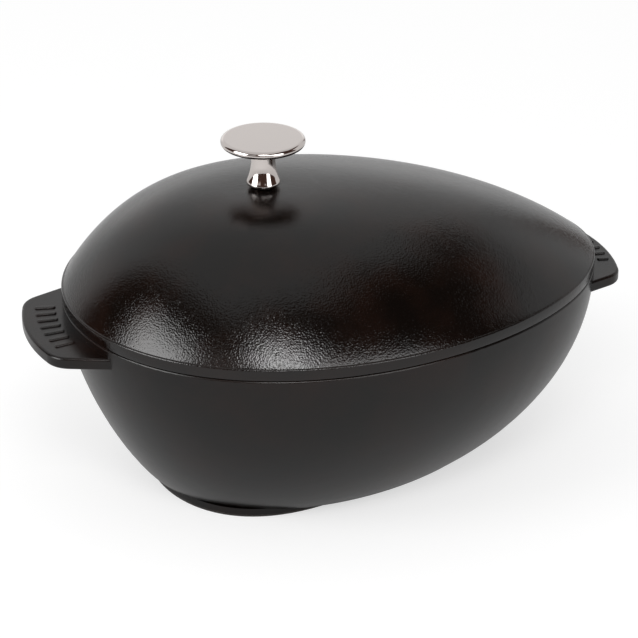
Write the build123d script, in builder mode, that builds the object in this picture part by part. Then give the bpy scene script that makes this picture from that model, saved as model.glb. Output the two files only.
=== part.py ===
"""Mussel pot: a cast iron pot with an egg-shaped rim, a domed lid with a turned knob, and a strainer.

Sizes are in millimetres. +X runs along the pot towards its narrow end, +Z is up, and the origin lies on the
table, under the middle of the pot and its two handles.
"""
import os
from math import asin, cos, degrees, hypot, pi, radians, sin, sqrt, tan

from build123d import *

os.makedirs("parts", exist_ok=True)

# Rim outline, an egg: x = a cos t, y = b sin t (1 - taper cos t)
rim_length = 250.0
rim_breadth = 191.4
egg_taper = 0.116
outline_points = 32

# Pot
pot_height = 87.8
base_inset = 41.3
narrow_end_extra = 5.3
base_bevel = 1.4
side_roundness = 1.84
side_roundness_change = 0.2
side_fullness = 1.16
side_sections = 9
pot_wall = 4.5
pot_floor = 5.0
rim_edge_radius = 0.9

# Foot ring, an egg of its own that is shorter at the pot's narrow end
foot_height = 2.5
foot_root = 1.5
foot_back = 15.6
foot_half_length = 72.0
foot_half_breadth = 50.5
foot_taper = 0.42
foot_ring_width = 9.0
foot_recess = 1.2

# Handles, cast in one with the pot
wide_handle_reach = 18.8
wide_handle_half_width = 30.8
wide_handle_bulge = 5.8
wide_handle_corner_radius = 12.6
wide_handle_splay = 21.6
narrow_handle_reach = 11.1
narrow_handle_half_width = 29.0
narrow_handle_bulge = 5.3
narrow_handle_corner_radius = 11.2
narrow_handle_splay = 17.7
handle_drop = 4.3
handle_thickness = 5.5
handle_edge_radius = 1.2
handle_root_radius = 6.0
handle_root_inset = 2.2
grip_rib_width = 2.2
grip_rib_height = 0.7
grip_rib_rounding = 0.5
grip_rib_pitch = 6.4
grip_rib_gap = 3.0
grip_rib_share = 0.5
wide_grip_ribs = 7
narrow_grip_ribs = 5

# Lid
band_height = 5.6
dome_height = 44.6
dome_centre_back = 33.0
dome_power = 2.72
dome_power_change = 0.31
dome_flatness = 1.053
dome_sections = 11
dome_flat_share = 0.065
lid_wall = 4.5
lid_bevel = 0.5
lip_depth = 5.0
lip_thickness = 3.0
lip_clearance = 1.0
roof_edge_share = 1.6
boss_radius = 10.5
boss_drop = 3.0

# Knob and its screw
knob_radius = 18.9
knob_height = 23.3
knob_edge_thickness = 3.4
knob_dish = 0.8
knob_neck_radius = 5.5
knob_neck_start = 12.0
knob_flare_radius = 7.7
knob_flare_low = 3.0
knob_flare_high = 3.9
knob_base_radius = 5.6
knob_fillet = 2.2
screw_radius = 3.0
thread_clearance = 0.05
screw_clearance = 0.3
screw_depth_in_knob = 10.0
bore_spare_depth = 3.0
screw_head_radius = 5.5
screw_head_height = 3.6
screw_head_rounding = 0.6
screw_tip_chamfer = 0.6
socket_width = 4.0
socket_depth = 2.2
washer_radius = 7.5
washer_thickness = 1.2
lock_washer_radius = 5.2
lock_washer_thickness = 1.5
lock_washer_gap = 1.6

# Strainer
strainer_clearance = 3.0
strainer_lift = 22.0
sheet = 1.0
bend_radius = 0.5
tray_depth = 8.0
drain_hole_radius = 2.6
drain_hole_pitch = 11.0
drain_margin = 8.0
leg_width = 12.0
leg_flange = 8.0
leg_foot = 7.0
leg_wall_gap = 2.0
leg_angles = (50, 130, 230, 310)

# Lift loop of the strainer, its brackets and rivets
loop_span = 70.0
loop_reach = 42.0
loop_wire_radius = 1.5
loop_corner_radius = 13.0
loop_pin_bend = 2.5
loop_pin_overhang = 2.0
loop_running_clearance = 0.1
loop_rest_gap = 0.3
bracket_sheet = 1.5
bracket_width = 12.0
bracket_foot = 9.0
bracket_corner_radius = 3.5
bracket_side_gap = 0.4
pin_over_foot = 2.0
rivet_radius = 1.3
rivet_clearance = 0.05
rivet_head_radius = 2.3
rivet_head_height = 0.9
rivet_head_rounding = 0.5
rivet_spacing = 6.0

# Height over which the slope of the pot's side is measured
slope_step = 0.5

# Places that follow from the sizes
rim_x = (wide_handle_reach - narrow_handle_reach) / 2
dome_x = rim_x - dome_centre_back
dome_base = pot_height + band_height
dome_top = dome_base + dome_height
roof_top = dome_top - lid_wall
boss_face = roof_top - boss_drop
lip_outer_inset = pot_wall + lip_clearance
lip_inner_inset = lip_outer_inset + lip_thickness
floor_top = foot_height + pot_floor
handle_top = pot_height - handle_drop
screw_hole_radius = screw_radius + screw_clearance
washer_face = boss_face - washer_thickness
head_face = washer_face - lock_washer_thickness
plate_low = floor_top + strainer_lift
plate_top = plate_low + sheet
pin_height = plate_top + bracket_sheet + loop_wire_radius + pin_over_foot
rivet_x = loop_span / 2 - bracket_sheet - bracket_foot / 2
rivet_spots = [(rim_x + x, y) for x in (-rivet_x, rivet_x) for y in (-rivet_spacing / 2, rivet_spacing / 2)]


def rim_point(angle, inset=0.0):
    """Point of the rim outline at this angle, moved squarely inwards by the inset."""
    half_length, half_breadth = rim_length / 2, rim_breadth / 2
    run = -half_length * sin(angle)
    rise = half_breadth * (cos(angle) - egg_taper * cos(2 * angle))
    size = hypot(run, rise)
    x = rim_x + half_length * cos(angle) - inset * rise / size
    y = half_breadth * sin(angle) * (1 - egg_taper * cos(angle)) + inset * run / size
    return x, y


def outline(point_at):
    """Points round a closed outline whose point at each angle is given."""
    return [point_at(2 * pi * step / outline_points) for step in range(outline_points)]


def level_face(height, point_at):
    """Flat face at this height, inside the smooth closed outline whose point at each angle is given."""
    with BuildSketch(Plane.XY.offset(height)) as level:
        with BuildLine():
            Spline(*outline(point_at), periodic=True)
        make_face()
    return level.sketch


def side_inset(angle, height):
    """How far the pot's outside lies inside the rim outline at this height."""
    climb = (height - foot_height) / (pot_height - foot_height)
    roundness = side_roundness + side_roundness_change * cos(angle)
    fullness = (1 - (1 - climb) ** roundness) ** (1 / side_fullness)
    return (base_inset + narrow_end_extra * cos(angle)) * (1 - fullness)


def foot_point(angle, share=1.0):
    """Point of the foot ring's outline, or of a like outline that a share draws in to its centre."""
    x = foot_half_length * cos(angle)
    y = foot_half_breadth * sin(angle) * (1 - foot_taper * cos(angle))
    return rim_x - foot_back + share * x, share * y


def inner_inset(angle, height):
    """How far the pot's inside lies inside the rim outline: the wall is measured square to its slope."""
    slope = (side_inset(angle, height - slope_step) - side_inset(angle, height)) / slope_step
    return side_inset(angle, height) + pot_wall * sqrt(1 + slope * slope)


def dome_rise(share):
    """Share of the dome's height reached by its level line, from 0 (the top) to 1 (the edge)."""
    return (1 - share**dome_power) ** (1 / dome_flatness)


def dome_point(angle, share, inset):
    """Point of the dome's level line: the outline drawn in to the top by a share, more at the narrow end."""
    own_share = share ** (dome_power / (dome_power - dome_power_change * cos(angle)))
    x, y = rim_point(angle, inset)
    return dome_x + own_share * (x - dome_x), own_share * y


def dome_levels(base, height, inset):
    """Level faces of a dome, closer together near its edge, where it is steepest."""
    for section in range(dome_sections):
        share = dome_flat_share + (1 - dome_flat_share) * cos(pi / 2 * section / (dome_sections - 1))
        yield level_face(base + height * dome_rise(share), lambda angle: dome_point(angle, share, inset))


def handle_plan(height, side, reach, half_width, bulge, corner_radius, splay):
    """Face of a handle's plan, in one with the rim's outline: its sides run into the wall in a curve."""
    tip = rim_x + side * (rim_length / 2 + reach)
    corner = tip - side * bulge
    root = rim_x + side * (rim_length / 2 - half_width)
    root_half = half_width + abs(corner - root) * tan(radians(splay))
    with BuildSketch(Plane.XY.offset(height)) as plan:
        with BuildLine():
            Polyline((corner, half_width), (root, root_half), (root, -root_half), (corner, -half_width))
            ThreePointArc((corner, half_width), (tip, 0), (corner, -half_width))
        make_face()
        fillet(plan.vertices().group_by(Axis.X)[-1 if side > 0 else 0], corner_radius)
        with BuildLine():
            Spline(*outline(lambda angle: rim_point(angle, handle_root_inset)), periodic=True)
        make_face()
        crossings = plan.vertices().sort_by(lambda vertex: abs(vertex.Y))[-2:]
        fillet(crossings, handle_root_radius)
    return plan.sketch


def rib_plan(height, side, reach, ribs):
    """Faces of a handle's grip ribs, fanned about the centre of the rim's end curve."""
    end_radius = (rim_breadth / 2 * (1 - side * egg_taper)) ** 2 / (rim_length / 2)
    rib_length = grip_rib_share * reach
    radius = end_radius + grip_rib_gap + rib_length / 2
    fan = degrees(grip_rib_pitch * (ribs - 1) / radius)
    with BuildSketch(Plane.XY.offset(height)) as plan:
        with Locations((rim_x + side * (rim_length / 2 - end_radius), 0)):
            middle = 0 if side > 0 else 180
            with PolarLocations(radius, ribs, middle - fan / 2, fan, endpoint=True):
                SlotOverall(rib_length, grip_rib_width)
    return plan.sketch


wide_form = (wide_handle_half_width, wide_handle_bulge, wide_handle_corner_radius, wide_handle_splay)
narrow_form = (
    narrow_handle_half_width, narrow_handle_bulge, narrow_handle_corner_radius, narrow_handle_splay
)
handles = []
for side, reach, form, ribs in (
    (-1, wide_handle_reach, wide_form, wide_grip_ribs),
    (1, narrow_handle_reach, narrow_form, narrow_grip_ribs),
):
    with BuildPart() as handle:
        extrude(handle_plan(handle_top - handle_thickness, side, reach, *form), amount=handle_thickness)
        level_edges = handle.edges().group_by(Axis.Z)
        fillet(level_edges[0] + level_edges[-1], handle_edge_radius)
        extrude(rib_plan(handle_top, side, reach, ribs), amount=grip_rib_height)
        fillet(handle.edges().group_by(Axis.Z)[-1], grip_rib_rounding)
    handles.append(handle.part)

with BuildPart() as pot_body:
    # Outside of the pot, from its bevelled base to its rim
    bevel_top = foot_height + base_bevel
    sides = []
    for section in range(side_sections):
        height = bevel_top + (pot_height - bevel_top) * section / (side_sections - 1)
        sides.append(level_face(height, lambda angle: rim_point(angle, side_inset(angle, height))))
    base = level_face(foot_height, lambda angle: rim_point(angle, side_inset(angle, bevel_top) + base_bevel))
    loft([base, sides[0]])
    loft(sides)
    fillet(pot_body.edges().group_by(Axis.Z)[-1], rim_edge_radius)

    # Foot ring
    extrude(level_face(0, foot_point), amount=foot_height + foot_root)

    # Handles
    add(handles)

    # Cavity
    hollows = [level_face(pot_height + 1, lambda angle: rim_point(angle, pot_wall))]
    for section in range(side_sections):
        height = pot_height - (pot_height - floor_top) * section / (side_sections - 1)
        hollows.append(level_face(height, lambda angle: rim_point(angle, inner_inset(angle, height))))
    loft(hollows, mode=Mode.SUBTRACT)

    # Sunk middle of the foot
    recess_share = 1 - foot_ring_width / foot_half_breadth
    recess = level_face(0, lambda angle: foot_point(angle, recess_share))
    extrude(recess, amount=foot_recess, mode=Mode.SUBTRACT)

pot_body.part.label = "pot_body"
export_step(pot_body.part, "parts/pot_body.step")

with BuildPart() as lid:
    # Locating lip
    lip_end = pot_height - lip_depth
    extrude(level_face(lip_end, lambda angle: rim_point(angle, lip_outer_inset)), amount=lip_depth)

    # Band with bevelled edges
    for edge_height, towards in ((pot_height, 1), (dome_base, -1)):
        bevel = [
            level_face(edge_height, lambda angle: rim_point(angle, lid_bevel)),
            level_face(edge_height + towards * lid_bevel, rim_point),
        ]
        loft(bevel[::towards])
    extrude(level_face(pot_height + lid_bevel, rim_point), amount=band_height - 2 * lid_bevel)

    # Dome
    loft(list(dome_levels(dome_base, dome_height, lid_bevel)))

    # Hollow
    edge_share = 1 - 2 * lip_inner_inset / rim_breadth
    roof_base = dome_base + dome_height * dome_rise(edge_share) - roof_edge_share * lid_wall
    mouth = level_face(lip_end, lambda angle: rim_point(angle, lip_inner_inset))
    extrude(mouth, amount=roof_base - lip_end, mode=Mode.SUBTRACT)
    loft(list(dome_levels(roof_base, roof_top - roof_base, lip_inner_inset)), mode=Mode.SUBTRACT)

    # Boss
    with Locations((dome_x, 0, boss_face)):
        Cylinder(boss_radius, boss_drop + lid_wall / 2, align=(Align.CENTER, Align.CENTER, Align.MIN))
    with Locations((dome_x, 0, dome_top)):
        Hole(screw_hole_radius)

lid.part.label = "lid"
export_step(lid.part, "parts/lid.step")

with BuildPart() as lid_knob:
    # Profile from the screw's bore out over the base, up the neck and round the disc
    bore = screw_radius + thread_clearance
    bore_top = screw_depth_in_knob + bore_spare_depth
    disc_low = knob_height - knob_edge_thickness
    edge_middle = knob_height - knob_edge_thickness / 2
    edge_start = knob_radius - knob_edge_thickness / 2
    with BuildSketch(Plane((dome_x, 0, dome_top), x_dir=(1, 0, 0), z_dir=(0, -1, 0))) as profile:
        with BuildLine():
            Polyline(
                (0, bore_top),
                (bore, bore_top),
                (bore, 0),
                (knob_base_radius, 0),
                (knob_flare_radius, knob_flare_low),
                (knob_flare_radius, knob_flare_high),
            )
            Spline(
                (knob_flare_radius, knob_flare_high),
                (knob_neck_radius, knob_neck_start),
                tangents=((-1, 1), (0, 1)),
            )
            Polyline(
                (knob_neck_radius, knob_neck_start),
                (knob_neck_radius, disc_low - knob_dish),
                (edge_start, disc_low),
            )
            ThreePointArc((edge_start, disc_low), (knob_radius, edge_middle), (edge_start, knob_height))
            Polyline((edge_start, knob_height), (0, knob_height), (0, bore_top))
        make_face()
        under_disc = profile.vertices().filter_by(
            lambda point: point.distance_to((knob_neck_radius, disc_low - knob_dish, 0)) < 0.01
        )
        fillet(under_disc, knob_fillet)
    revolve(axis=Axis((dome_x, 0, 0), (0, 0, 1)))

lid_knob.part.label = "lid_knob"
export_step(lid_knob.part, "parts/lid_knob.step")

with BuildPart() as knob_washer:
    with BuildSketch(Plane.XY.offset(washer_face)):
        with Locations((dome_x, 0)):
            Circle(washer_radius)
            Circle(screw_hole_radius, mode=Mode.SUBTRACT)
    extrude(amount=washer_thickness)

knob_washer.part.label = "knob_washer"
export_step(knob_washer.part, "parts/knob_washer.step")

with BuildPart() as knob_lock_washer:
    with BuildSketch(Plane.XY.offset(head_face)):
        with Locations((dome_x, 0)):
            Circle(lock_washer_radius)
            Circle(screw_hole_radius, mode=Mode.SUBTRACT)
        # Split in the ring
        with Locations((dome_x + lock_washer_radius / 2, 0)):
            Rectangle(lock_washer_radius, lock_washer_gap, mode=Mode.SUBTRACT)
    extrude(amount=lock_washer_thickness)

knob_lock_washer.part.label = "knob_lock_washer"
export_step(knob_lock_washer.part, "parts/knob_lock_washer.step")

with BuildPart() as knob_screw:
    with Locations((dome_x, 0, head_face)):
        Cylinder(screw_head_radius, screw_head_height, align=(Align.CENTER, Align.CENTER, Align.MAX))
        Cylinder(
            screw_radius,
            dome_top + screw_depth_in_knob - head_face,
            align=(Align.CENTER, Align.CENTER, Align.MIN),
        )
    fillet(knob_screw.edges().group_by(Axis.Z)[0], screw_head_rounding)
    chamfer(knob_screw.edges().group_by(Axis.Z)[-1], screw_tip_chamfer)
    with BuildSketch(Plane.XY.offset(head_face - screw_head_height)):
        with Locations((dome_x, 0)):
            RegularPolygon(socket_width / 2, 6, major_radius=False)
    extrude(amount=socket_depth, mode=Mode.SUBTRACT)

knob_screw.part.label = "knob_screw"
export_step(knob_screw.part, "parts/knob_screw.step")


def tray_point(angle, inset=0.0):
    """Point of the strainer's outline, which follows the pot's wall at the height of its plate."""
    return rim_point(angle, inner_inset(angle, plate_low) + strainer_clearance + inset)


def leg_stance(angle):
    """Where a leg's upright stands on the pot's floor, and which way is outwards there."""
    inset = inner_inset(angle, floor_top) + leg_wall_gap + leg_foot
    x, y = rim_point(angle, inset)
    further_x, further_y = rim_point(angle, inset + 1)
    return x, y, x - further_x, y - further_y


def drain_spots():
    """Centres of the drain holes: staggered rows inside the tray, clear of the brackets and the legs."""
    leg_room = hypot(leg_flange, leg_width / 2) + drain_hole_radius
    bracket_room_x = bracket_foot / 2 + bracket_sheet + drain_hole_radius
    bracket_room_y = bracket_width / 2 + drain_hole_radius
    field = level_face(0, lambda angle: tray_point(angle, drain_margin)).face()
    rows = int(rim_breadth / drain_hole_pitch)
    for row in range(-rows, rows + 1):
        for column in range(-2 * rows, 2 * rows + 1):
            x = rim_x + drain_hole_pitch * (column + row % 2 / 2)
            y = drain_hole_pitch * row * sqrt(3) / 2
            on_bracket = abs(abs(x - rim_x) - rivet_x) < bracket_room_x and abs(y) < bracket_room_y
            on_leg = any(hypot(x - leg_x, y - leg_y) < leg_room for leg_x, leg_y, _, _ in legs)
            if field.is_inside((x, y, 0)) and not on_bracket and not on_leg:
                yield x, y


legs = [leg_stance(radians(angle)) for angle in leg_angles]

with BuildPart() as strainer_plate:
    extrude(level_face(plate_low, tray_point), amount=sheet + tray_depth)
    fillet(strainer_plate.edges().group_by(Axis.Z)[0], bend_radius + sheet)
    inside = level_face(plate_top, lambda angle: tray_point(angle, sheet))
    extrude(inside, amount=tray_depth, mode=Mode.SUBTRACT)
    with BuildSketch(Plane.XY.offset(plate_low)):
        with Locations(*drain_spots()):
            Circle(drain_hole_radius)
        with Locations(*rivet_spots):
            Circle(rivet_radius + rivet_clearance)
    extrude(amount=sheet, mode=Mode.SUBTRACT)

strainer_plate.part.label = "strainer_plate"
export_step(strainer_plate.part, "parts/strainer_plate.step")

# Legs, bent from strip: a flange under the plate and a foot on the pot's floor
for number, (leg_x, leg_y, outward_x, outward_y) in enumerate(legs, start=1):
    outward = Vector(outward_x, outward_y)
    across = outward.rotate(Axis.Z, -90)
    with BuildPart() as leg:
        with BuildSketch(Plane((leg_x, leg_y, floor_top), x_dir=outward, z_dir=across)):
            with BuildLine():
                FilletPolyline(
                    (-leg_flange, strainer_lift - sheet / 2),
                    (sheet / 2, strainer_lift - sheet / 2),
                    (sheet / 2, sheet / 2),
                    (leg_foot, sheet / 2),
                    radius=bend_radius + sheet / 2,
                )
            trace(line_width=sheet)
        extrude(amount=leg_width / 2, both=True)

    leg.part.label = f"strainer_leg_{number}"
    export_step(leg.part, f"parts/strainer_leg_{number}.step")

# Brackets, bent from strip: a foot riveted to the plate and an upright ear for the loop's pin
for name, side in (("left", -1), ("right", 1)):
    ear_x = rim_x + side * (loop_span - bracket_sheet) / 2
    foot_z = plate_top + bracket_sheet / 2
    with BuildPart() as bracket:
        with BuildSketch(Plane.XZ):
            with BuildLine():
                FilletPolyline(
                    (ear_x, pin_height + loop_wire_radius + loop_running_clearance + pin_over_foot),
                    (ear_x, foot_z),
                    (ear_x - side * (bracket_sheet / 2 + bracket_foot), foot_z),
                    radius=bend_radius + bracket_sheet / 2,
                )
            trace(line_width=bracket_sheet)
        extrude(amount=bracket_width / 2, both=True)
        fillet(bracket.edges().filter_by(Axis.X).group_by(Axis.Z)[-1], bracket_corner_radius)
        with Locations(Plane((ear_x, 0, pin_height), x_dir=(0, 1, 0), z_dir=(side, 0, 0))):
            Hole(loop_wire_radius + loop_running_clearance)
        spots = [(x, y, plate_top + bracket_sheet) for x, y in rivet_spots if side * (x - rim_x) > 0]
        with Locations(*spots):
            Hole(rivet_radius + rivet_clearance, depth=bracket_sheet)

    bracket.part.label = f"loop_bracket_{name}"
    export_step(bracket.part, f"parts/loop_bracket_{name}.step")

with BuildPart() as loop_rivets:
    with Locations(*[(x, y, plate_low) for x, y in rivet_spots]):
        Cylinder(rivet_radius, sheet + bracket_sheet, align=(Align.CENTER, Align.CENTER, Align.MIN))
        Cylinder(rivet_head_radius, rivet_head_height, align=(Align.CENTER, Align.CENTER, Align.MAX))
    with Locations(*[(x, y, plate_top + bracket_sheet) for x, y in rivet_spots]):
        Cylinder(rivet_head_radius, rivet_head_height, align=(Align.CENTER, Align.CENTER, Align.MIN))
    fillet(loop_rivets.edges().group_by(Axis.Z)[-1], rivet_head_rounding)

loop_rivets.part.label = "loop_rivets"
export_step(loop_rivets.part, "parts/loop_rivets.step")

with BuildPart() as lift_loop:
    # The loop lies folded down, its far side just above the plate
    fold = asin((pin_height - plate_top - loop_wire_radius - loop_rest_gap) / loop_reach)
    pin_end = loop_span / 2 - bracket_sheet - loop_pin_overhang
    arm = loop_span / 2 + bracket_side_gap + loop_pin_bend
    with BuildLine(Plane((rim_x, 0, pin_height), x_dir=(1, 0, 0), z_dir=(0, sin(fold), cos(fold)))) as wire:
        FilletPolyline(
            (-pin_end, 0),
            (-arm, 0),
            (-arm, loop_reach),
            (arm, loop_reach),
            (arm, 0),
            (pin_end, 0),
            radius=[loop_pin_bend, loop_corner_radius, loop_corner_radius, loop_pin_bend],
        )
    with BuildSketch(wire.line ^ 0):
        Circle(loop_wire_radius)
    sweep()

lift_loop.part.label = "lift_loop"
export_step(lift_loop.part, "parts/lift_loop.step")
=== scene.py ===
"""Dresses the packed mussel pot: an enamelled casting, its domed lid, a polished knob and a steel strainer.

Geometry Nodes make the lid, the knob and the rivets of the strainer's brackets as fine meshes. The lid and
the knob follow the rule of their CAD solids, but the knob's flare lies a little lower. The other pieces keep
their CAD meshes and get their finishes. Sizes are in metres, in the frame of the CAD model.
"""

from math import cos, pi, radians, sin

import bmesh
import bpy
from bpy.props import FloatProperty, FloatVectorProperty, IntProperty, PointerProperty
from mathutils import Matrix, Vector


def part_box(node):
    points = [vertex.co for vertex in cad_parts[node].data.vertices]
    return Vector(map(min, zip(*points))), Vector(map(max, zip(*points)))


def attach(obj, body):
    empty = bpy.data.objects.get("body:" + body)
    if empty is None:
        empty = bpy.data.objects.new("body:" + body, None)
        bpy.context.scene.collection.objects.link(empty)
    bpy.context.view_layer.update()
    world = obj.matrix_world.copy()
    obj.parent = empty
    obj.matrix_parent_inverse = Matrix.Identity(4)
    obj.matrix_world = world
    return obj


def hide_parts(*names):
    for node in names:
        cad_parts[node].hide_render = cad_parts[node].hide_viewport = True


bl_info = {
    "name": "Mussel pot",
    "version": (1, 0, 0),
    "blender": (4, 5, 0),
    "location": "3D View > Sidebar > Mussel pot",
    "description": "Builds a mussel pot and its studio round the packed CAD model",
    "category": "Object",
}

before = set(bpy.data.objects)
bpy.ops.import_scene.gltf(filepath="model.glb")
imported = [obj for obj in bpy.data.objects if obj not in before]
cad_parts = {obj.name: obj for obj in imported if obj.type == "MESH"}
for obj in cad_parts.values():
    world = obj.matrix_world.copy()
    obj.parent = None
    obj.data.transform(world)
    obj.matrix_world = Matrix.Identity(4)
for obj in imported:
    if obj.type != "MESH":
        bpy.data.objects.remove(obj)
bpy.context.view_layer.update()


def length(name, description, default):
    """A size in metres that a user may change."""
    return FloatProperty(name=name, description=description, default=default, unit="LENGTH", precision=5)


def number(name, description, default):
    """A plain number that a user may change."""
    return FloatProperty(name=name, description=description, default=default, precision=4)


def count(name, description, default):
    """A count that a user may change."""
    return IntProperty(name=name, description=description, default=default)


def angle(name, description, degrees):
    """An angle that a user may change, with its default in degrees."""
    return FloatProperty(name=name, description=description, default=radians(degrees), unit="ROTATION")


def wattage(name, description, default):
    """A lamp's power that a user may change."""
    return FloatProperty(name=name, description=description, default=default, unit="POWER")


def colour(name, description, default):
    """A colour in linear light that a user may change."""
    limits = {"min": 0, "max": 1}
    return FloatVectorProperty(name=name, description=description, default=default, subtype="COLOR", **limits)


def spot(name, description, default):
    """A place in metres that a user may change."""
    settings = {"unit": "LENGTH", "precision": 4}
    return FloatVectorProperty(name=name, description=description, default=default, **settings)


class EggSizes(bpy.types.PropertyGroup):
    """The egg outline that the lid and its walls follow: x = a cos t, y = b sin t (1 - taper cos t)."""

    half_length: length("Half length", "Half the length of the rim along the pot", 0.125)
    half_breadth: length("Half breadth", "Half the breadth of the rim at its middle", 0.0957)
    taper: number("Taper", "How much narrower the far end is than the near end", 0.116)
    centre_x: length("Centre", "Place of the rim's centre along the pot", 0.00385)
    axis_x: length("Knob axis", "Place of the knob's axis along the pot", -0.02915)
    power: number("Dome power", "How flat the top of the dome is", 2.72)
    power_change: number("Dome power change", "How much less flat the dome is towards its narrow end", 0.31)
    flatness: number("Dome flatness", "How early the dome turns down", 1.053)
    steps: count("Steps", "Steps round the outline", 256)


class LidSizes(bpy.types.PropertyGroup):
    """Heights, walls and edges of the lid."""

    seam: length("Seam", "Height of the seam between the pot and the lid", 0.0878)
    band: length("Band", "Height of the upright band", 0.0056)
    edge: length("Edge", "Radius of the band's edges", 0.0008)
    dome: length("Dome", "Height of the dome above the band", 0.0446)
    wall: length("Wall", "Thickness of the dome at its top", 0.0045)
    roof_edge: number("Roof edge", "How many walls the roof's edge lies under the dome", 1.6)
    lip_depth: length("Lip depth", "Depth of the lip inside the pot", 0.005)
    lip_outside: length("Lip outside", "Inset of the lip's outside from the rim", 0.0055)
    lip_inside: length("Lip inside", "Inset of the lip's inside from the rim", 0.0085)
    boss_radius: length("Boss", "Radius of the boss under the knob", 0.0105)
    boss_drop: length("Boss drop", "Height of the boss under the roof", 0.003)
    hole_radius: length("Hole", "Radius of the hole for the knob's screw", 0.0033)
    dome_rings: count("Dome rings", "Rings of the dome from its top to its edge", 56)
    roof_rings: count("Roof rings", "Rings of the roof inside the dome", 20)


class KnobSizes(bpy.types.PropertyGroup):
    """The turned knob's profile."""

    radius: length("Disc radius", "Radius of the disc", 0.0189)
    height: length("Height", "Height of the knob over the dome", 0.0233)
    edge: length("Edge thickness", "Thickness of the disc's rounded edge", 0.0034)
    dish: length("Dish", "How far the disc's underside runs down to the neck", 0.0008)
    neck: length("Neck radius", "Radius of the neck", 0.00545)
    neck_start: length("Neck start", "Height at which the flare has become the neck", 0.0125)
    flare_power: number("Flare power", "How early the flare draws in to the neck", 1.9)
    flare: length("Flare radius", "Radius of the flare over the base", 0.0077)
    flare_low: length("Flare low", "Height of the flare's lower edge", 0.0018)
    flare_high: length("Flare high", "Height of the flare's upper edge", 0.0026)
    base: length("Base radius", "Radius of the base on the dome", 0.0056)
    fillet: length("Fillet", "Radius between the neck and the disc", 0.0022)
    bore: length("Bore", "Radius of the bore for the screw", 0.00305)
    bore_depth: length("Bore depth", "Depth of the bore", 0.013)


class RivetSizes(bpy.types.PropertyGroup):
    """The rivets of the loop's brackets."""

    shank_radius: length("Shank radius", "Radius of the shank", 0.0013)
    head_radius: length("Head radius", "Radius of a head", 0.0023)
    head_height: length("Head height", "Height of a domed head", 0.0009)


class FinishSettings(bpy.types.PropertyGroup):
    """Colours and grain of the finishes."""

    enamel: colour("Enamel", "The black enamel", (0.0036, 0.0025, 0.002))
    # Painted reflection: a brownish tone put into the enamel's colour in cloud patches, standing in for a
    # brownish reflection
    enamel_painted_brown_reflection: colour("Enamel, warm", "The enamel where its coat is thin", (0.0105, 0.0046, 0.003))
    lid_grain: length("Lid grain", "Size of the orange peel on the lid", 0.00072)
    lid_relief: length("Lid relief", "Height of the orange peel on the lid", 0.00011)
    pot_grain: length("Pot grain", "Size of the grain on the pot", 0.0013)
    pot_relief: length("Pot relief", "Height of the grain on the pot", 0.00002)
    nickel: colour("Nickel", "The polished knob", (0.78, 0.72, 0.69))
    steel: colour("Steel", "The strainer's sheet", (0.58, 0.58, 0.57))
    wire: colour("Wire", "The drawn wire of the loop", (0.62, 0.62, 0.61))
    bare_iron: colour("Bare iron", "The pot's foot where its enamel is worn", (0.035, 0.031, 0.028))


class StageSizes(bpy.types.PropertyGroup):
    """The camera, the lamps and the walls of the studio."""

    azimuth: angle("Azimuth", "Camera's turn", -18.45)
    elevation: angle("Elevation", "Camera's tilt", 26.45)
    distance: length("Distance", "From the camera to its target", 1.2)
    lens: FloatProperty(name="Lens", description="Focal length", default=143.64, unit="CAMERA")
    target: spot("Target", "Point at the photo's centre", (0.00398, 0.02093, 0.05646))
    left_box: spot("Left soft box", "Place of the left soft box", (-0.81, -0.16, 0.72))
    left_size: length("Left soft box size", "Breadth of the left soft box", 0.36)
    left_power: wattage("Left power", "Power of the left soft box", 1.6)
    front_box: spot("Front soft box", "Place of the front soft box", (-0.22, -0.66, 0.83))
    front_size: length("Front soft box size", "Breadth of the front soft box", 0.42)
    front_power: wattage("Front power", "Power of the front soft box", 2.4)
    floor_glow: number("Floor glow", "Light that the floor adds where it's seen directly", 0.62)
    floor_mirror_share: number("Floor in mirrors", "Share of that light which reflections show", 0.4)


class Field:
    """A node's output socket, on which Python's operators add Math nodes."""

    def __init__(self, graph, socket):
        self.graph = graph
        self.socket = socket

    def maths(self, operation, *values):
        """Adds a Math node on numbers and fields, and gives its result."""
        node = self.graph.add("ShaderNodeMath", {"operation": operation}, dict(enumerate(values)))
        return Field(self.graph, node.outputs[0])

    def __add__(self, other):
        return self.maths("ADD", self, other)

    def __radd__(self, other):
        return self.maths("ADD", other, self)

    def __sub__(self, other):
        return self.maths("SUBTRACT", self, other)

    def __rsub__(self, other):
        return self.maths("SUBTRACT", other, self)

    def __mul__(self, other):
        return self.maths("MULTIPLY", self, other)

    def __rmul__(self, other):
        return self.maths("MULTIPLY", other, self)

    def __truediv__(self, other):
        return self.maths("DIVIDE", self, other)

    def __rtruediv__(self, other):
        return self.maths("DIVIDE", other, self)

    def __pow__(self, other):
        return self.maths("POWER", self, other)

    def __gt__(self, other):
        return self.maths("GREATER_THAN", self, other)


class Graph:
    """A node tree to which nodes are added with their settings and sockets in one call."""

    def __init__(self, tree):
        self.tree = tree

    def add(self, kind, settings=None, sockets=None):
        """Adds a node: first its settings, a ramp's stops among them, then its sockets by name or number."""
        node = self.tree.nodes.new(kind)
        for name, value in (settings or {}).items():
            if name == "stops":
                for place, (position, shade) in enumerate(value):
                    ramp = node.color_ramp.elements
                    stop = ramp[place] if place < len(ramp) else ramp.new(position)
                    stop.position = position
                    stop.color = shade
            else:
                setattr(node, name, value)
        for key, value in (sockets or {}).items():
            if isinstance(value, Field):
                self.tree.links.new(value.socket, node.inputs[key])
            else:
                node.inputs[key].default_value = value
        return node

    def field(self, kind, settings=None, sockets=None, output=0):
        """Adds a node and gives one of its outputs."""
        return Field(self, self.add(kind, settings, sockets).outputs[output])


LATHE_INPUTS = ("half_length", "half_breadth", "taper", "centre_x", "axis_x", "power", "power_change")
ON_EGG = -1.0
WELD_DISTANCE = 1e-7


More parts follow.
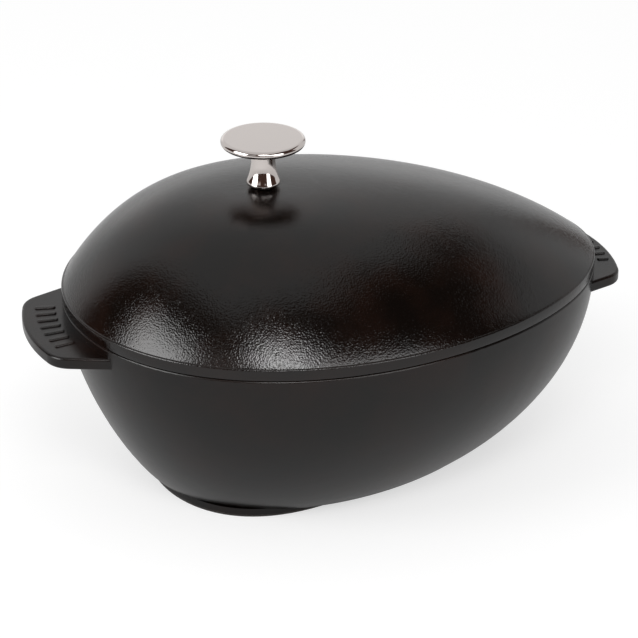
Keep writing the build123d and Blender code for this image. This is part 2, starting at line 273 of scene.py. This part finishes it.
def lathe_tree():
    """The tree that turns a profile into a closed skin, round the egg outline or round the knob's axis.

    The profile is a mesh of loose points. A point's share draws the outline in towards the axis, and its
    inset moves it squarely inwards. A radius of zero or more puts the ring on a circle round the axis instead.
    """
    tree = bpy.data.node_groups.new("egg lathe", "GeometryNodeTree")
    face = tree.interface
    face.new_socket("Profile", in_out="INPUT", socket_type="NodeSocketGeometry")
    for name in LATHE_INPUTS:
        face.new_socket(name, in_out="INPUT", socket_type="NodeSocketFloat")
    face.new_socket("steps", in_out="INPUT", socket_type="NodeSocketInt")
    face.new_socket("finish", in_out="INPUT", socket_type="NodeSocketMaterial")
    face.new_socket("Skin", in_out="OUTPUT", socket_type="NodeSocketGeometry")
    graph = Graph(tree)
    given = graph.add("NodeGroupInput")
    profile = Field(graph, given.outputs["Profile"])
    a, b, taper, centre, axis, power, change = (Field(graph, given.outputs[name]) for name in LATHE_INPUTS)
    steps = Field(graph, given.outputs["steps"])

    rows = graph.field("GeometryNodeAttributeDomainSize", {"component": "MESH"}, {"Geometry": profile})
    sheet = graph.field(
        "GeometryNodeMeshGrid",
        sockets={"Size X": 1.0, "Size Y": 1.0, "Vertices X": steps + 1, "Vertices Y": rows},
    )
    place = graph.add("ShaderNodeSeparateXYZ", sockets={0: graph.field("GeometryNodeInputPosition")})
    turn = (Field(graph, place.outputs["X"]) + 0.5) * (2 * pi)
    row = (Field(graph, place.outputs["Y"]) + 0.5) * (rows - 1) + 0.5
    row = row.maths("FLOOR", row)

    def along(name):
        value = graph.field("GeometryNodeInputNamedAttribute", {"data_type": "FLOAT"}, {"Name": name})
        sample = graph.add("GeometryNodeSampleIndex", {"data_type": "FLOAT", "domain": "POINT"})
        for key, field in (("Geometry", profile), ("Value", value), ("Index", row)):
            tree.links.new(field.socket, sample.inputs[key])
        return Field(graph, sample.outputs[0])

    cosine = turn.maths("COSINE", turn)
    sine = turn.maths("SINE", turn)
    double = turn.maths("COSINE", turn * 2)
    run = a * sine * -1
    rise = b * (cosine - taper * double)
    size = (run * run + rise * rise) ** 0.5
    inset = along("inset")
    egg_x = centre + a * cosine - inset * rise / size
    egg_y = b * sine * (1 - taper * cosine) + inset * run / size
    share = along("share") ** (power / (power - change * cosine))
    radius = along("radius")
    on_circle = radius > ON_EGG / 2
    x = axis + share * (egg_x - axis)
    y = share * egg_y
    x = x + on_circle * (axis + radius * cosine - x)
    y = y + on_circle * (radius * sine - y)
    point = graph.field("ShaderNodeCombineXYZ", sockets={"X": x, "Y": y, "Z": along("height")})
    skin = graph.field("GeometryNodeSetPosition", sockets={"Geometry": sheet, "Position": point})
    skin = graph.field("GeometryNodeMergeByDistance", sockets={"Geometry": skin, "Distance": WELD_DISTANCE})
    skin = graph.field("GeometryNodeSetShadeSmooth", sockets={"Geometry": skin, "Shade Smooth": True})
    skin = graph.field("GeometryNodeRealizeInstances", sockets={0: skin})
    finish = Field(graph, given.outputs["finish"])
    skin = graph.field("GeometryNodeSetMaterial", sockets={"Geometry": skin, "Material": finish})
    tree.links.new(skin.socket, graph.add("NodeGroupOutput").inputs["Skin"])
    return tree


def run_tree(piece, tree, values):
    """Gives a piece the tree's result as a plain mesh. The values go to the tree's inputs by their names."""
    modifier = piece.modifiers.new(tree.name, "NODES")
    modifier.node_group = tree
    for item in tree.interface.items_tree:
        if item.item_type == "SOCKET" and item.name in values:
            modifier[item.identifier] = values[item.name]
    evaluated = piece.evaluated_get(bpy.context.evaluated_depsgraph_get())
    result = bpy.data.meshes.new_from_object(evaluated)
    piece.modifiers.clear()
    piece.data = result
    if not result.polygons:
        raise RuntimeError(f"the tree {tree.name} gave {piece.name} no faces")


def loose_points(name, points, attributes=()):
    """An object of loose points, with the values that each named attribute has at them."""
    mesh = bpy.data.meshes.new(name)
    mesh.from_pydata(points, [], [])
    for attribute, values in attributes:
        mesh.attributes.new(attribute, "FLOAT", "POINT").data.foreach_set("value", values)
    piece = bpy.data.objects.new(name, mesh)
    bpy.context.scene.collection.objects.link(piece)
    return piece


def turned_piece(name, profile, steps, finish):
    """A closed skin that follows a profile of rings, each with its share, inset, height and radius."""
    egg = bpy.context.scene.mussel_egg
    names = ("share", "inset", "height", "radius")
    piece = loose_points(name, [(0, 0, ring[2]) for ring in profile], zip(names, zip(*profile)))
    values = {key: getattr(egg, key) for key in LATHE_INPUTS}
    run_tree(piece, lathe_tree(), {**values, "steps": steps, "finish": finish})
    return piece


def egg_ring(inset, height, share=1.0):
    """A ring of a profile on the egg outline."""
    return share, inset, height, ON_EGG


def round_ring(radius, height):
    """A ring of a profile on a circle round the knob's axis."""
    return 1.0, 0.0, height, radius


def corner(radius, steps=4):
    """Shares of a small radius along the two sides of a rounded right corner."""
    for step in range(steps + 1):
        turn = pi / 2 * step / steps
        yield radius * (1 - sin(turn)), radius * (1 - cos(turn))


def dome_rise(share):
    """Share of the dome's height at one of its level lines, from 0 (the top) to 1 (the edge)."""
    egg = bpy.context.scene.mussel_egg
    return (1 - share**egg.power) ** (1 / egg.flatness)


def lid_profile():
    """The lid's rings: over the dome, down the band, round the lip, along the roof and round the boss."""
    sizes = bpy.context.scene.mussel_lid
    dome_base = sizes.seam + sizes.band
    dome_top = dome_base + sizes.dome
    roof_top = dome_top - sizes.wall
    boss_face = roof_top - sizes.boss_drop
    lip_end = sizes.seam - sizes.lip_depth
    edge_share = 1 - sizes.lip_inside / bpy.context.scene.mussel_egg.half_breadth
    roof_base = dome_base + sizes.dome * dome_rise(edge_share) - sizes.roof_edge * sizes.wall
    # The shares of the outline at which the dome's first ring and the roof's last ring lie
    dome_start, roof_end = 0.05, 0.16
    tight, hole_chamfer = 0.0003, 0.0002
    lip_rounding, boss_rounding = 0.0006, 0.0004
    boss_fillet = ((0.0012, 0.0001), (tight, 0.0004), (0, 0.001))
    rings = [round_ring(sizes.hole_radius + hole_chamfer, dome_top)]
    for ring in range(sizes.dome_rings + 1):
        share = dome_start + (1 - dome_start) * sin(pi / 2 * ring / sizes.dome_rings)
        rings.append(egg_ring(sizes.edge, dome_base + sizes.dome * dome_rise(share), share))
    rings += [egg_ring(inset, dome_base - drop) for inset, drop in corner(sizes.edge)][1:]
    rings += [egg_ring(inset, sizes.seam + rise) for rise, inset in corner(sizes.edge)]
    rings.append(egg_ring(sizes.lip_outside - tight, sizes.seam))
    rings.append(egg_ring(sizes.lip_outside, sizes.seam - tight))
    rings += [egg_ring(sizes.lip_outside + inset, lip_end + rise) for rise, inset in corner(lip_rounding)]
    rings += [egg_ring(sizes.lip_inside - inset, lip_end + rise) for inset, rise in corner(lip_rounding)]
    for ring in range(sizes.roof_rings + 1):
        share = roof_end + (1 - roof_end) * cos(pi / 2 * ring / sizes.roof_rings)
        rings.append(egg_ring(sizes.lip_inside, roof_base + (roof_top - roof_base) * dome_rise(share), share))
    rings += [round_ring(sizes.boss_radius + out, roof_top - drop) for out, drop in boss_fillet]
    for rise, inset in corner(boss_rounding):
        rings.append(round_ring(sizes.boss_radius - inset, boss_face + rise))
    rings += [
        round_ring(sizes.hole_radius + tight, boss_face),
        round_ring(sizes.hole_radius, boss_face + tight),
        round_ring(sizes.hole_radius, dome_top - tight),
        rings[0],
    ]
    return rings


def knob_profile():
    """The knob's rings: up the bore, round the base, up the flare and the neck, and round the disc."""
    sizes = bpy.context.scene.mussel_knob
    lid = bpy.context.scene.mussel_lid
    foot = lid.seam + lid.band + lid.dome
    tight, flare_rounding = 0.0002, 0.0003
    curve_steps = 12
    disc_low = sizes.height - sizes.edge
    edge_start = sizes.radius - sizes.edge / 2
    points = [
        (0, sizes.bore_depth),
        (sizes.bore - tight, sizes.bore_depth),
        (sizes.bore, sizes.bore_depth - tight),
        (sizes.bore, tight),
        (sizes.bore + tight, 0),
        (sizes.base - tight, 0),
        (sizes.base + tight, tight),
        (sizes.flare - flare_rounding, sizes.flare_low - flare_rounding),
        (sizes.flare, sizes.flare_low + tight),
        (sizes.flare, sizes.flare_high - tight),
    ]
    # The flare runs up into the neck in one curve, from a slope to upright
    rise = sizes.neck_start - sizes.flare_high
    for step in range(curve_steps + 1):
        climb = step / curve_steps
        bow = (1 - climb) ** sizes.flare_power
        points.append((sizes.neck + (sizes.flare - sizes.neck) * bow, sizes.flare_high + rise * climb))
    under = disc_low - sizes.dish
    points += [(sizes.neck + out, under - down) for down, out in corner(sizes.fillet, 8)]
    points += [(edge_start - tight, disc_low - tight / 10)]
    for step in range(curve_steps + 1):
        turn = pi * step / curve_steps - pi / 2
        points.append((edge_start + sizes.edge / 2 * cos(turn), disc_low + sizes.edge / 2 * (1 + sin(turn))))
    points += [(edge_start - tight, sizes.height), (0, sizes.height), (0, sizes.bore_depth)]
    return [round_ring(radius, foot + height) for radius, height in points]


def new_material(name):
    """A material with an empty node tree, and the graph that fills it."""
    material = bpy.data.materials.new(name)
    material.use_nodes = True
    material.node_tree.nodes.clear()
    return material, Graph(material.node_tree)


def close_material(graph, sockets):
    """Ends a material's graph in a Principled shader with these sockets."""
    shader = graph.field("ShaderNodeBsdfPrincipled", sockets=sockets)
    graph.add("ShaderNodeOutputMaterial", sockets={"Surface": shader})


def opaque(tint):
    """A colour with the alpha that a colour socket asks for."""
    return (*tint, 1)


def mix_tints(graph, share, first, second):
    """A colour between two others."""
    sockets = {0: share, 6: first, 7: second}
    return graph.field("ShaderNodeMix", {"data_type": "RGBA"}, sockets, output=2)


BLACK = (0, 0, 0, 1)
WHITE = (1, 1, 1, 1)


def noise(graph, place, scale, detail):
    """A noise from 0 to 1 over a surface."""
    sockets = {"Vector": place, "Scale": scale, "Detail": detail}
    return graph.field("ShaderNodeTexNoise", sockets=sockets, output="Fac")


def ramp(graph, value, *stops):
    """A ramp of tints over a value, from the place and tint of each stop."""
    return graph.field("ShaderNodeValToRGB", {"stops": stops}, {"Fac": value})


def bumps(graph, height):
    """The normal of a surface that rises by a height in metres."""
    return graph.field("ShaderNodeBump", sockets={"Height": height, "Distance": 1.0}, output="Normal")


def enamel(name, grain, relief, shine, shine_change, gloss, worn_foot=False):
    """Black enamel: a fine orange peel, slow waves in its gloss, and a painted brown reflection as warmer
    cloud patches in its colour.
    """
    pit_scale = 0.8
    wave_scale, wave_relief, wave_shine = 38.0, 0.00012, 0.06
    tones = bpy.context.scene.mussel_finish
    material, graph = new_material(name)
    place = graph.field("ShaderNodeTexCoord", output="Object")
    peel = noise(graph, place, 1 / grain, 1.0)
    sockets = {"Vector": place, "Scale": pit_scale / grain}
    pits = graph.field("ShaderNodeTexVoronoi", {"feature": "SMOOTH_F1"}, sockets)
    clouds = noise(graph, place, wave_scale, 3.0)
    normal = bumps(graph, peel * relief + pits * (relief / 3) + clouds * wave_relief)
    # Painted reflection: cloud patches where the colour turns warm, standing in for a brownish reflection in
    # the enamel
    painted_brown_patches = ramp(graph, clouds, (0.42, BLACK), (0.72, WHITE))
    tint = mix_tints(graph, painted_brown_patches, opaque(tones.enamel), opaque(tones.enamel_painted_brown_reflection))
    rough = shine + (peel - 0.5) * shine_change + (clouds - 0.5) * wave_shine
    if worn_foot:
        # The wear ends a millimetre or so over the table, along a ragged line
        wear_per_metre, ragged, shift, wear_dull = 400, 0.3, 0.1, 0.25
        rise = graph.field("ShaderNodeSeparateXYZ", sockets={"Vector": place}, output="Z")
        worn = ramp(graph, rise * wear_per_metre + peel * ragged - shift, (0.25, WHITE), (0.5, BLACK))
        tint = mix_tints(graph, worn, tint, opaque(tones.bare_iron))
        rough = rough + worn * wear_dull
    sockets = {"Base Color": tint, "Roughness": rough, "Normal": normal, "Specular IOR Level": gloss}
    close_material(graph, sockets)
    return material


def metal(name, tint, shine, stretch, relief):
    """Bare metal with fine lines: a noise that is stretched along the way that the metal was worked."""
    cloud_scale, cloud_shade = 90.0, 0.88
    line_shine, cloud_shine = 0.16, 0.08
    material, graph = new_material(name)
    place = graph.field("ShaderNodeTexCoord", output="Object")
    drawn = graph.field("ShaderNodeMapping", sockets={"Vector": place, "Scale": stretch})
    lines = noise(graph, drawn, 1.0, 4.0)
    clouds = noise(graph, place, cloud_scale, 2.0)
    normal = bumps(graph, lines * relief)
    shade = mix_tints(graph, clouds, opaque(tint), opaque([cloud_shade * part for part in tint]))
    rough = shine + (lines - 0.5) * line_shine + (clouds - 0.5) * cloud_shine
    close_material(graph, {"Base Color": shade, "Roughness": rough, "Normal": normal, "Metallic": 1.0})
    return material


def nickel(name):
    """Polished nickel with the faint rings of the lathe round the knob's axis."""
    rings_per_metre, ring_relief, ring_shine = 5200, 2e-7, 0.05
    smear_scale, smear_shine, shine = 150.0, 0.06, 0.07
    scene = bpy.context.scene
    material, graph = new_material(name)
    place = graph.field("ShaderNodeTexCoord", output="Object")
    sockets = {"Vector": place, "Location": (-scene.mussel_egg.axis_x, 0, 0)}
    centred = graph.field("ShaderNodeMapping", sockets=sockets)
    flat = graph.field("ShaderNodeVectorMath", {"operation": "MULTIPLY"}, {0: centred, 1: (1, 1, 0)})
    radius = graph.field("ShaderNodeVectorMath", {"operation": "LENGTH"}, {0: flat}, "Value")
    sockets = {"W": radius * rings_per_metre, "Detail": 2.0}
    rings = graph.field("ShaderNodeTexNoise", {"noise_dimensions": "1D"}, sockets, "Fac")
    smears = noise(graph, place, smear_scale, 3.0)
    normal = bumps(graph, rings * ring_relief)
    rough = shine + (rings - 0.5) * ring_shine + (smears - 0.5) * smear_shine
    tint = opaque(scene.mussel_finish.nickel)
    close_material(graph, {"Base Color": tint, "Roughness": rough, "Normal": normal, "Metallic": 1.0})
    return material


def give_finish(node, material):
    """Puts a material on every slot of a CAD node's object."""
    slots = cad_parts[node].material_slots
    if not slots:
        raise RuntimeError(f"the node {node} has no material slot")
    for place in slots:
        place.material = material


class MUSSEL_OT_lid(bpy.types.Operator):
    """Builds the lid's casting as one closed skin."""

    bl_idname = "mussel.lid"
    bl_label = "Lid"

    def execute(self, context):
        tones = context.scene.mussel_finish
        coat = enamel("lid enamel", tones.lid_grain, tones.lid_relief, 0.11, 0.06, gloss=0.5)
        piece = turned_piece("lid_casting", lid_profile(), context.scene.mussel_egg.steps, coat)
        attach(piece, "lid")
        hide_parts("lid")
        return {"FINISHED"}


class MUSSEL_OT_knob(bpy.types.Operator):
    """Turns the knob as one closed skin."""

    bl_idname = "mussel.knob"
    bl_label = "Knob"

    def execute(self, context):
        piece = turned_piece("knob_turning", knob_profile(), 128, nickel("polished nickel"))
        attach(piece, "lid")
        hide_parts("lid_knob")
        return {"FINISHED"}


class MUSSEL_OT_pot(bpy.types.Operator):
    """Gives the pot's casting its enamel."""

    bl_idname = "mussel.pot"
    bl_label = "Pot"

    def execute(self, context):
        tones = context.scene.mussel_finish
        grain, relief = tones.pot_grain, tones.pot_relief
        give_finish("pot_body", enamel("pot enamel", grain, relief, 0.24, 0.08, gloss=0.4, worn_foot=True))
        return {"FINISHED"}


class MUSSEL_OT_strainer(bpy.types.Operator):
    """Gives the strainer and the knob's fixing their metals."""

    bl_idname = "mussel.strainer"
    bl_label = "Strainer and fixing"

    def execute(self, context):
        tones = context.scene.mussel_finish
        brushed = metal("brushed steel", tones.steel, 0.3, (55, 2400, 2400), 3e-6)
        plain = metal("plain steel", tones.steel, 0.22, (900, 900, 900), 2e-6)
        drawn = metal("drawn wire", tones.wire, 0.2, (120, 900, 900), 2e-6)
        sheet = ["strainer_plate", "loop_bracket_left", "loop_bracket_right"]
        sheet += [f"strainer_leg_{number}" for number in range(1, 5)]
        for node in sheet:
            give_finish(node, brushed)
        for node in ("knob_screw", "knob_washer", "knob_lock_washer"):
            give_finish(node, plain)
        give_finish("lift_loop", drawn)
        rivets(plain)
        return {"FINISHED"}


def rivets_tree():
    """The tree that puts a rivet with two domed heads on every point."""
    round_steps, head_rings = 24, 14
    tree = bpy.data.node_groups.new("rivets", "GeometryNodeTree")
    face = tree.interface
    face.new_socket("Places", in_out="INPUT", socket_type="NodeSocketGeometry")
    names = ("shank_radius", "shank_length", "head_radius", "head_height")
    for name in names:
        face.new_socket(name, in_out="INPUT", socket_type="NodeSocketFloat")
    face.new_socket("finish", in_out="INPUT", socket_type="NodeSocketMaterial")
    face.new_socket("Rivets", in_out="OUTPUT", socket_type="NodeSocketGeometry")
    graph = Graph(tree)
    given = graph.add("NodeGroupInput")
    inputs = (Field(graph, given.outputs[name]) for name in names)
    shank_radius, shank_length, head_radius, head_height = inputs
    sizes = {"Vertices": round_steps, "Radius": shank_radius, "Depth": shank_length}
    joined = graph.add("GeometryNodeJoinGeometry")
    tree.links.new(graph.field("GeometryNodeMeshCylinder", sockets=sizes).socket, joined.inputs[0])
    squash = graph.field("ShaderNodeCombineXYZ", sockets={"X": 1.0, "Y": 1.0, "Z": head_height / head_radius})
    sizes = {"Segments": round_steps, "Rings": head_rings, "Radius": head_radius}
    ball = graph.field("GeometryNodeMeshUVSphere", sockets=sizes)
    for end in (-0.5, 0.5):
        lift = graph.field("ShaderNodeCombineXYZ", sockets={"Z": shank_length * end})
        sockets = {"Geometry": ball, "Translation": lift, "Scale": squash}
        tree.links.new(graph.field("GeometryNodeTransform", sockets=sockets).socket, joined.inputs[0])
    rivet = Field(graph, joined.outputs[0])
    places = Field(graph, given.outputs["Places"])
    made = graph.field("GeometryNodeInstanceOnPoints", sockets={"Points": places, "Instance": rivet})
    made = graph.field("GeometryNodeRealizeInstances", sockets={0: made})
    made = graph.field("GeometryNodeSetShadeSmooth", sockets={"Geometry": made, "Shade Smooth": True})
    finish = Field(graph, given.outputs["finish"])
    made = graph.field("GeometryNodeSetMaterial", sockets={"Geometry": made, "Material": finish})
    tree.links.new(made.socket, graph.add("NodeGroupOutput").inputs["Rivets"])
    return tree


def rivets(finish):
    """The rivets of the loop's brackets, with domed heads, in the places of the CAD's."""
    low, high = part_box("loop_rivets")
    sizes = bpy.context.scene.mussel_rivets
    middle = (low[2] + high[2]) / 2
    along, across = high[0] - sizes.head_radius, high[1] - sizes.head_radius
    centre = (low[0] + high[0]) / 2
    spots = [(centre + side * (along - centre), row * across, middle) for side in (-1, 1) for row in (-1, 1)]
    piece = loose_points("bracket_rivets", spots)
    values = {
        "shank_radius": sizes.shank_radius,
        "shank_length": high[2] - low[2] - 2 * sizes.head_height,
        "head_radius": sizes.head_radius,
        "head_height": sizes.head_height,
        "finish": finish,
    }
    run_tree(piece, rivets_tree(), values)
    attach(piece, "strainer")
    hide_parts("loop_rivets")


def soft_box(name, centre, aim, sides, power):
    """A rectangular lamp at a place, turned to a point."""
    data = bpy.data.lights.new(name, "AREA")
    data.shape = "RECTANGLE"
    data.size, data.size_y = sides
    data.energy = power
    lamp = bpy.data.objects.new(name, data)
    lamp.location = centre
    lamp.rotation_euler = (Vector(aim) - Vector(centre)).to_track_quat("-Z", "Y").to_euler()
    lamp.visible_glossy = False
    bpy.context.scene.collection.objects.link(lamp)


def seen_directly(graph, mirror_share=1.0):
    """How much of the white background a ray shows: all to the camera and through glass, a part in gloss."""
    path = graph.add("ShaderNodeLightPath")
    rays = (path.outputs[f"Is {kind} Ray"] for kind in ("Camera", "Glossy", "Transmission"))
    camera, glossy, through = (Field(graph, ray) for ray in rays)
    return camera.maths("MAXIMUM", camera, through.maths("MAXIMUM", through, glossy * mirror_share))


def stage_piece(name, corners, faces, material):
    """A floor or wall of the studio, which isn't part of the object."""
    mesh = bpy.data.meshes.new(name)
    mesh.from_pydata(corners, [], faces)
    mesh.materials.append(material)
    piece = bpy.data.objects.new(name, mesh)
    bpy.context.scene.collection.objects.link(piece)
    return piece


STUDIO_REACH = 8
FLOOR_GREY = (0.5, 0.5, 0.5, 1)
WORLD_GREY = (0.65, 0.65, 0.65, 1)


def build_floor():
    """A white floor that keeps the pot's shadow."""
    material, graph = new_material("white floor")
    sizes = bpy.context.scene.mussel_stage
    glow = seen_directly(graph, sizes.floor_mirror_share) * sizes.floor_glow
    lit = mix_tints(graph, glow, BLACK, WHITE)
    sockets = {"Base Color": FLOOR_GREY, "Roughness": 0.9, "Specular IOR Level": 0.0}
    close_material(graph, {**sockets, "Emission Color": lit, "Emission Strength": 1.0})
    sides = ((-1, -1), (1, -1), (1, 1), (-1, 1))
    corners = [(x * STUDIO_REACH, y * STUDIO_REACH, 0) for x, y in sides]
    stage_piece("floor", corners, [(0, 1, 2, 3)], material)


class Panel:
    """A lit panel of the studio: the direction of its middle, its half sides, its soft edge and its light."""

    def __init__(self, azimuth, elevation, half_width, half_height, edge, light):
        self.azimuth, self.elevation = radians(azimuth), radians(elevation)
        self.half_sides = radians(half_width), radians(half_height)
        self.edge, self.light = radians(edge), light

    def mask(self, graph, way):
        """1 inside the panel and 0 outside it, for a direction from the studio's middle."""
        flat_x, flat_y = sin(self.azimuth), -cos(self.azimuth)
        low, high = sin(self.elevation), cos(self.elevation)
        axes = (
            (flat_x * high, flat_y * high, low),
            (-flat_y, flat_x, 0),
            (-flat_x * low, -flat_y * low, high),
        )
        ahead, aside, above = (
            graph.field("ShaderNodeVectorMath", {"operation": "DOT_PRODUCT"}, {0: way, 1: axis}, "Value")
            for axis in axes
        )
        offsets = (aside.maths("ARCTAN2", aside, ahead), above.maths("ARCSINE", above))
        shown = 1
        for offset, half in zip(offsets, self.half_sides):
            sockets = {
                "Value": offset.maths("ABSOLUTE", offset),
                "From Min": half + self.edge / 2,
                "From Max": half - self.edge / 2,
            }
            shown = graph.field("ShaderNodeMapRange", {"interpolation_type": "SMOOTHSTEP"}, sockets) * shown
        return shown


STUDIO_MIDDLE = (0, 0, 0.1)
STUDIO_DARK = 0.05
STUDIO_DIM = (1, 0.5, 0.36, 1)
STUDIO_PANELS = {
    "overhead": Panel(180, 68, 36, 44, 9, 0.57),
    "back wall": Panel(180, 12, 43, 34, 6, 0.66),
    "backdrop": Panel(168, 0, 24, 20, 14, 0.95),
    "right wall": Panel(105, 12, 26, 25, 6, 0.62),
    "flag": Panel(60, 57, 19, 12, 10, 0.03),
    "left soft box": Panel(-81, 15, 17, 22, 10, 6.2),
    "front strip": Panel(16, 30, 21, 7, 8, 3.6),
    "front soft box": Panel(-16, 39, 8, 7, 14, 14.0),
    "low light": Panel(24, 8, 13, 16, 6, 3.0),
    "between": Panel(-48, 28, 10, 13, 6, 0.4),
}


def build_studio():
    """The studio's walls and soft boxes, which only reflections show."""
    material, graph = new_material("studio walls")
    place = graph.field("ShaderNodeTexCoord", output="Object")
    off_middle = graph.field("ShaderNodeVectorMath", {"operation": "SUBTRACT"}, {0: place, 1: STUDIO_MIDDLE})
    way = graph.field("ShaderNodeVectorMath", {"operation": "NORMALIZE"}, {0: off_middle})
    light = STUDIO_DARK
    for panel in STUDIO_PANELS.values():
        light = light + panel.mask(graph, way) * (panel.light - light)
    tint = ramp(graph, light, (0.0, STUDIO_DIM), (0.4, WHITE))
    glow = graph.field("ShaderNodeVectorMath", {"operation": "SCALE"}, {0: tint, "Scale": light})
    sockets = {"Base Color": BLACK, "Roughness": 1.0, "Specular IOR Level": 0.0}
    close_material(graph, {**sockets, "Emission Color": glow, "Emission Strength": 1.0})
    ball = bmesh.new()
    bmesh.ops.create_uvsphere(ball, u_segments=48, v_segments=24, radius=STUDIO_REACH)
    corners = [Vector(STUDIO_MIDDLE) + vertex.co for vertex in ball.verts]
    faces = [[vertex.index for vertex in face.verts] for face in ball.faces]
    ball.free()
    walls = stage_piece("studio_walls", corners, faces, material)
    for ray in ("camera", "diffuse", "shadow", "transmission"):
        setattr(walls, f"visible_{ray}", False)


def build_world():
    """A white studio, plain in the light that it gives."""
    world = bpy.data.worlds.new("studio")
    bpy.context.scene.world = world
    world.use_nodes = True
    world.node_tree.nodes.clear()
    graph = Graph(world.node_tree)
    light = graph.field("ShaderNodeBackground", sockets={"Color": WORLD_GREY, "Strength": 1.0})
    white = graph.field("ShaderNodeBackground", sockets={"Color": WHITE, "Strength": 1.0})
    shown = graph.field("ShaderNodeMixShader", sockets={0: seen_directly(graph), 1: light, 2: white})
    graph.add("ShaderNodeOutputWorld", sockets={"Surface": shown})


class MUSSEL_OT_stage(bpy.types.Operator):
    """Sets up the camera, the white floor, the walls and the soft boxes."""

    bl_idname = "mussel.stage"
    bl_label = "Stage"

    def execute(self, context):
        scene = context.scene
        sizes = scene.mussel_stage
        data = bpy.data.cameras.new("camera")
        data.sensor_width = 36
        data.lens = sizes.lens
        camera = bpy.data.objects.new("camera", data)
        azimuth, elevation = sizes.azimuth, sizes.elevation
        back = Vector((sin(azimuth) * cos(elevation), -cos(azimuth) * cos(elevation), sin(elevation)))
        camera.location = Vector(sizes.target) + back * sizes.distance
        camera.rotation_euler = (-back).to_track_quat("-Z", "Y").to_euler()
        scene.collection.objects.link(camera)
        scene.camera = camera
        scene.view_settings.view_transform = "Standard"
        build_world()
        build_floor()
        build_studio()
        left_sides = (sizes.left_size, sizes.left_size / 2)
        front_sides = (sizes.front_size, sizes.front_size * 0.65)
        soft_box("left soft box", sizes.left_box, STUDIO_MIDDLE, left_sides, sizes.left_power)
        soft_box("front soft box", sizes.front_box, STUDIO_MIDDLE, front_sides, sizes.front_power)
        return {"FINISHED"}


class MUSSEL_PT_panel(bpy.types.Panel):
    """Lists the pieces of the mussel pot and their sizes."""

    bl_label = "Mussel pot"
    bl_idname = "MUSSEL_PT_panel"
    bl_space_type = "VIEW_3D"
    bl_region_type = "UI"
    bl_category = "Mussel pot"

    def draw(self, context):
        for operator in OPERATORS:
            self.layout.operator(operator.bl_idname)
        for name in GROUPS:
            group = getattr(context.scene, name)
            box = self.layout.box()
            box.label(text=group.__doc__)
            for size in group.bl_rna.properties:
                if size.identifier not in ("rna_type", "name"):
                    box.prop(group, size.identifier)


OPERATORS = (MUSSEL_OT_stage, MUSSEL_OT_pot, MUSSEL_OT_lid, MUSSEL_OT_knob, MUSSEL_OT_strainer)
GROUPS = {
    "mussel_egg": EggSizes,
    "mussel_lid": LidSizes,
    "mussel_knob": KnobSizes,
    "mussel_rivets": RivetSizes,
    "mussel_finish": FinishSettings,
    "mussel_stage": StageSizes,
}


def register():
    """Registers the settings, the operators and the panel."""
    for group in GROUPS.values():
        bpy.utils.register_class(group)
    for name, group in GROUPS.items():
        setattr(bpy.types.Scene, name, PointerProperty(type=group))
    for kind in (*OPERATORS, MUSSEL_PT_panel):
        bpy.utils.register_class(kind)


def unregister():
    """Takes back what register did, in reverse."""
    for kind in (MUSSEL_PT_panel, *reversed(OPERATORS)):
        bpy.utils.unregister_class(kind)
    for name in GROUPS:
        delattr(bpy.types.Scene, name)
    for group in reversed(list(GROUPS.values())):
        bpy.utils.unregister_class(group)


def main():
    """Builds the stage and the pieces."""
    register()
    bpy.ops.mussel.stage()
    bpy.ops.mussel.pot()
    bpy.ops.mussel.lid()
    bpy.ops.mussel.knob()
    bpy.ops.mussel.strainer()


if __name__ == "__main__":
    main()
